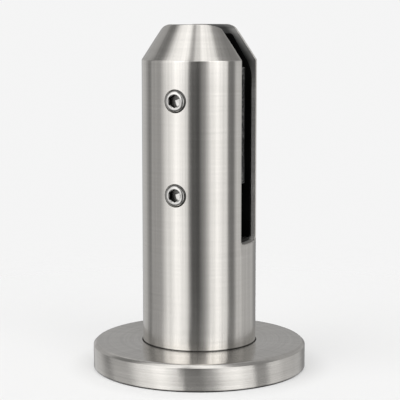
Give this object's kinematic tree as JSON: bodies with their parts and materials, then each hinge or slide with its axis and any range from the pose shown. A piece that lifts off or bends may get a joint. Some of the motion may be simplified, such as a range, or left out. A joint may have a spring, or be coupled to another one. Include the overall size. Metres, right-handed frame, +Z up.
{
  "type": "round glass spigot",
  "caption": "Round stainless post with a coned top and a through slot that clamps the edge of a glass panel with set screws, on a bolted flange under a lift-off cover ring.",
  "frame": {"origin": "centre of the post's foot, on the surface that the flange stands on", "axes": "+Z up along the post, X along the glass slot, -Y the side of the clamp screws"},
  "size_m": [0.094, 0.094, 0.151],
  "materials": {
    "turned_stainless": "satin, turned with a fine brushed grain round the axis",
    "cast_plate_steel": "dull, rough cut edges",
    "screw_stainless": "bright machined",
    "pad_rubber": "matt black"
  },
  "bodies": {
    "post": {"spigot_post": "turned_stainless", "fixed_pad": "pad_rubber", "base_pad": "pad_rubber"},
    "cover_ring": {"base_cover_ring": "turned_stainless"},
    "clamp": {"clamp_plate": "cast_plate_steel", "clamp_pad": "pad_rubber"},
    "upper_screw": {"upper_clamp_screw": "screw_stainless"},
    "lower_screw": {"lower_clamp_screw": "screw_stainless"}
  },
  "joints": [
    {"name": "cover_ring_lift", "type": "slide", "parent": "post", "child": "cover_ring", "axis": [0, 0, 1], "range_m": [0, 0.045]},
    {"name": "clamp_travel", "type": "slide", "parent": "post", "child": "clamp", "axis": [0, 1, 0], "range_m": [0, 0.003]},
    {"name": "upper_screw_turn", "type": "hinge", "parent": "clamp", "child": "upper_screw", "pos_m": [0, 0, 0.119], "axis": [0, 1, 0], "range_deg": [0, 720]},
    {"name": "lower_screw_turn", "type": "hinge", "parent": "clamp", "child": "lower_screw", "pos_m": [0, 0, 0.079], "axis": [0, 1, 0], "range_deg": [0, 720]}
  ],
  "couplings": [
    {"joint": "upper_screw_turn", "follows": "clamp_travel", "rad_per_m": 4188.8},
    {"joint": "lower_screw_turn", "follows": "clamp_travel", "rad_per_m": 4188.8}
  ]
}
